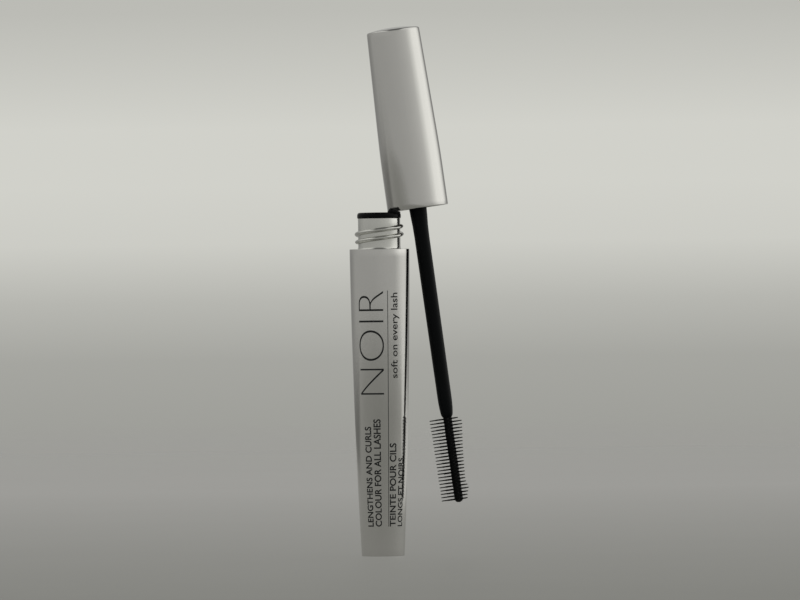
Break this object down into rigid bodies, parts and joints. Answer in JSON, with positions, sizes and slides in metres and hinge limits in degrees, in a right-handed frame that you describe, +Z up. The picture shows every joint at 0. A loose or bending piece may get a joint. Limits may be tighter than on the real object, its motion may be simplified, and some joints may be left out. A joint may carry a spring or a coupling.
{
  "type": "mascara tube",
  "caption": "Open mascara tube: a slim silver bottle standing on its base, with its silver cap, black rod and comb brush leaning on the rim.",
  "frame": {"origin": "centre of the bottle's flat base, on the surface it stands on", "axes": "+Z up the bottle's axis, +X towards the side the applicator hangs on, -Y towards the printed front"},
  "size_m": [0.0315, 0.0191, 0.143],
  "materials": {
    "silver_shell": "satin gloss silver",
    "neck_plastic": "light grey moulded plastic",
    "wiper_rubber": "black, wet with product",
    "mascara": "wet black paste",
    "washer_foam": "white closed-cell foam",
    "inner_plastic": "natural white moulded plastic",
    "rod_plastic": "black, coated with product",
    "brush_plastic": "black, coated with product",
    "print_ink": "dark grey pad-printed ink"
  },
  "bodies": {
    "bottle": {"bottle_shell": "silver_shell", "base_plug": "silver_shell", "vial": "neck_plastic", "wiper": "wiper_rubber", "mascara_paste": "mascara", "mascara_bead": "mascara"},
    "seal": {"sealing_washer": "washer_foam"},
    "applicator": {"cap_shell": "silver_shell", "inner_cap": "inner_plastic", "rod": "rod_plastic", "brush": "brush_plastic"}
  },
  "joints": [
    {"name": "applicator_lift", "type": "slide", "parent": "bottle", "child": "seal", "axis": [0, 0, 1], "range_m": [0, 0.09]},
    {"name": "applicator_twist", "type": "hinge", "parent": "seal", "child": "applicator", "pos_m": [0.01053, 0.00275, 0.09374], "axis": [-0.1271, 0, 0.9919], "continuous": true}
  ]
}
